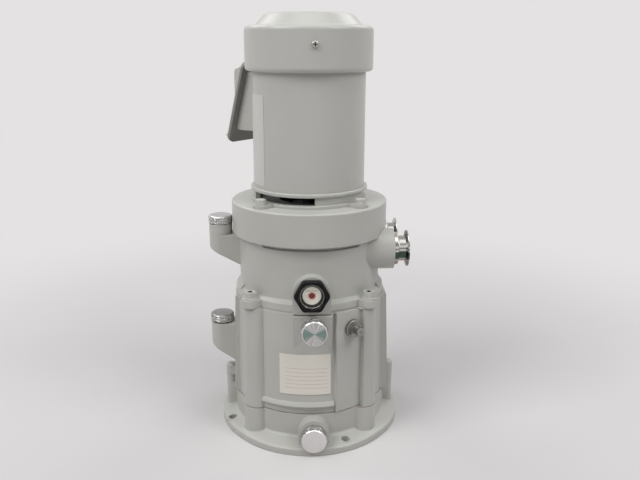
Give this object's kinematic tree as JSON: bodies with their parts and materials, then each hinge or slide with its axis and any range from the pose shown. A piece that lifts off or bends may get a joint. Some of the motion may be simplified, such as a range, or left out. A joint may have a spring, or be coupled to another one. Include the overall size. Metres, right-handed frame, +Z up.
{
  "type": "scroll vacuum pump",
  "caption": "Vertical scroll vacuum pump: round foot, oil casing with fillers, sight glass and drain, side gas ports with clamp flanges, and a flange motor with a terminal box on top.",
  "frame": {"origin": "centre of the round foot, on its underside", "axes": "+Z up along the motor's axis, -Y towards the sight glass at the front, +X towards the gas ports"},
  "size_m": [0.2242, 0.2169, 0.4615],
  "materials": {
    "paint": "semi-gloss light grey-green paint",
    "gasket": "matt",
    "screws": "zinc plated",
    "cap_aluminium": "turned",
    "seal_rubber": "matt",
    "port_steel": "polished stainless steel",
    "bezel_black": "satin black",
    "sight_glass": "clear",
    "disc_white": "white",
    "plug_steel": "dark steel",
    "plate_bare": "bare satin plate",
    "terminal_dark": "dark grey",
    "frame_iron": "machined",
    "scroll_aluminium": "machined",
    "turned_steel": "ground",
    "core_steel": "laminated",
    "copper": "varnished copper wire",
    "fan_plastic": "matt"
  },
  "bodies": {
    "pump": {"base_casting": "paint", "lower_casing": "paint", "upper_casing": "paint", "motor_adapter": "paint", "motor_bracket": "paint", "motor_shell": "paint", "upper_end_bracket": "paint", "fan_cover": "paint", "terminal_box": "paint", "terminal_lid": "paint", "base_gasket": "gasket", "casing_gasket": "gasket", "base_bolts": "screws", "casing_bolts": "screws", "bracket_bolts": "screws", "fan_cover_screws": "screws", "terminal_screws": "screws", "scroll_bolts": "screws", "valve_screws": "screws", "shaft_seal": "seal_rubber", "intake_port": "port_steel", "exhaust_port": "port_steel", "intake_pipe": "port_steel", "sight_glass_bezel": "bezel_black", "sight_glass_lens": "sight_glass", "sight_glass_disc": "disc_white", "hex_plug": "plug_steel", "rating_plate": "plate_bare", "terminal_plate": "terminal_dark", "cable_gland": "terminal_dark", "terminal_block": "terminal_dark", "pump_frame": "frame_iron", "fixed_scroll": "scroll_aluminium", "bearing_outer_rings": "turned_steel", "discharge_reed": "turned_steel", "valve_stop": "turned_steel", "stator_core": "core_steel", "stator_windings": "copper"},
    "rotor": {"motor_shaft": "turned_steel", "rotor_core": "core_steel", "cooling_fan": "fan_plastic", "coupling_motor_hub": "frame_iron", "coupling_spider": "seal_rubber", "coupling_pump_hub": "frame_iron", "crankshaft": "turned_steel", "counterweight": "frame_iron", "bearing_inner_rings": "turned_steel"},
    "orbiting_scroll": {"orbiting_scroll": "scroll_aluminium", "drive_bearing": "turned_steel"},
    "pin_crank_1": {"pin_crank_1": "turned_steel"},
    "pin_crank_2": {"pin_crank_2": "turned_steel"},
    "pin_crank_3": {"pin_crank_3": "turned_steel"},
    "upper_filler_seal": {"upper_filler_seal": "seal_rubber"},
    "upper_filler_cap": {"upper_filler_cap": "cap_aluminium"},
    "lower_filler_seal": {"lower_filler_seal": "seal_rubber"},
    "lower_filler_cap": {"lower_filler_cap": "cap_aluminium"},
    "front_port_seal": {"front_port_seal": "seal_rubber"},
    "front_port_cap": {"front_port_cap": "cap_aluminium"},
    "drain_seal": {"drain_seal": "seal_rubber"},
    "drain_cap": {"drain_cap": "cap_aluminium"}
  },
  "joints": [
    {"name": "rotor_spin", "type": "hinge", "parent": "pump", "child": "rotor", "pos_m": [0, 0, 0.3], "axis": [0, 0, 1], "continuous": true},
    {"name": "orbiting_scroll_turn", "type": "hinge", "parent": "rotor", "child": "orbiting_scroll", "pos_m": [0.0046, 0, 0.158], "axis": [0, 0, 1], "continuous": true},
    {"name": "pin_crank_1_turn", "type": "hinge", "parent": "pump", "child": "pin_crank_1", "pos_m": [0.023, -0.03984, 0.155], "axis": [0, 0, 1], "continuous": true},
    {"name": "pin_crank_2_turn", "type": "hinge", "parent": "pump", "child": "pin_crank_2", "pos_m": [0.023, 0.03984, 0.155], "axis": [0, 0, 1], "continuous": true},
    {"name": "pin_crank_3_turn", "type": "hinge", "parent": "pump", "child": "pin_crank_3", "pos_m": [-0.046, 0, 0.155], "axis": [0, 0, 1], "continuous": true},
    {"name": "upper_filler_lift", "type": "slide", "parent": "pump", "child": "upper_filler_seal", "axis": [0, 0, 1], "range_m": [0, 0.009]},
    {"name": "upper_filler_cap_turn", "type": "hinge", "parent": "upper_filler_seal", "child": "upper_filler_cap", "pos_m": [-0.1008, 0, 0.2345], "axis": [0, 0, 1], "range_deg": [0, 2160]},
    {"name": "lower_filler_lift", "type": "slide", "parent": "pump", "child": "lower_filler_seal", "axis": [0, 0, 1], "range_m": [0, 0.009]},
    {"name": "lower_filler_cap_turn", "type": "hinge", "parent": "lower_filler_seal", "child": "lower_filler_cap", "pos_m": [-0.1024, 0, 0.1169], "axis": [0, 0, 1], "range_deg": [0, 2160]},
    {"name": "front_port_lift", "type": "slide", "parent": "pump", "child": "front_port_seal", "axis": [0, -1, 0], "range_m": [0, 0.009]},
    {"name": "front_port_cap_turn", "type": "hinge", "parent": "front_port_seal", "child": "front_port_cap", "pos_m": [0.0023, -0.094, 0.1401], "axis": [0, -1, 0], "range_deg": [0, 2160]},
    {"name": "drain_lift", "type": "slide", "parent": "pump", "child": "drain_seal", "axis": [0, -1, 0], "range_m": [0, 0.009]},
    {"name": "drain_cap_turn", "type": "hinge", "parent": "drain_seal", "child": "drain_cap", "pos_m": [0.0015, -0.1005, 0.0187], "axis": [0, -1, 0], "range_deg": [0, 2160]}
  ],
  "couplings": [
    {"joint": "orbiting_scroll_turn", "follows": "rotor_spin", "ratio": -1},
    {"joint": "pin_crank_1_turn", "follows": "rotor_spin", "ratio": 1},
    {"joint": "pin_crank_2_turn", "follows": "rotor_spin", "ratio": 1},
    {"joint": "pin_crank_3_turn", "follows": "rotor_spin", "ratio": 1},
    {"joint": "upper_filler_lift", "follows": "upper_filler_cap_turn", "m_per_rad": 0.0002387},
    {"joint": "lower_filler_lift", "follows": "lower_filler_cap_turn", "m_per_rad": 0.0002387},
    {"joint": "front_port_lift", "follows": "front_port_cap_turn", "m_per_rad": 0.0002387},
    {"joint": "drain_lift", "follows": "drain_cap_turn", "m_per_rad": 0.0002387}
  ]
}
